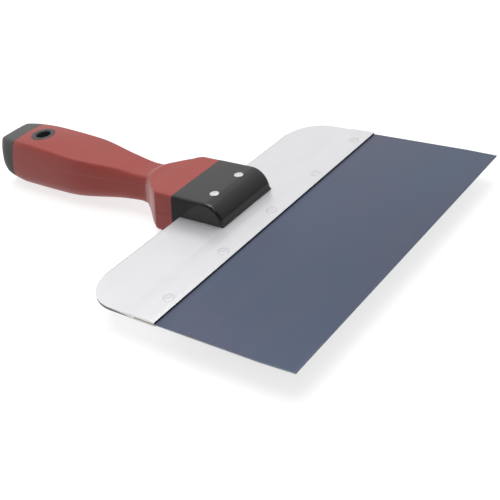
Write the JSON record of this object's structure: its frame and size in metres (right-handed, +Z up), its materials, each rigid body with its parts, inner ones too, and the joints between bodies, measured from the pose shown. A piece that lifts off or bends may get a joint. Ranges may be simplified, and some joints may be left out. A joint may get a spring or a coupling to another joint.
{
  "type": "drywall taping knife",
  "caption": "Drywall taping knife: thin spring-steel blade riveted in an aluminium backing plate, on a hard-nosed handle with a soft grip and a hang hole",
  "frame": {"origin": "the middle of the knife's footprint, at its lowest point (the underside of the grip)", "axes": "+Y along the knife to the cutting edge, +Z up out of the blade's upper face, +X across the blade"},
  "size_m": [0.2032, 0.2882, 0.0337],
  "materials": {
    "blued_steel": "blued spring steel, fine lengthwise grain",
    "aluminium": "extruded, satin, with lines along the extrusion",
    "hard_black": "semi-gloss moulded plastic",
    "soft_red": "soft-touch moulded rubber, satin",
    "charcoal": "matt moulded plastic",
    "rivet_steel": "bright plated steel"
  },
  "bodies": {
    "root": {"blade": "blued_steel", "backing_plate": "aluminium", "handle_core": "hard_black", "grip_overmould": "soft_red", "butt_cap": "charcoal", "hang_hole_ring": "charcoal", "blade_rivet_1": "rivet_steel", "blade_rivet_2": "rivet_steel", "blade_rivet_3": "rivet_steel", "blade_rivet_4": "rivet_steel", "blade_rivet_5": "rivet_steel", "handle_rivet_1": "rivet_steel", "handle_rivet_2": "rivet_steel"}
  },
  "joints": []
}
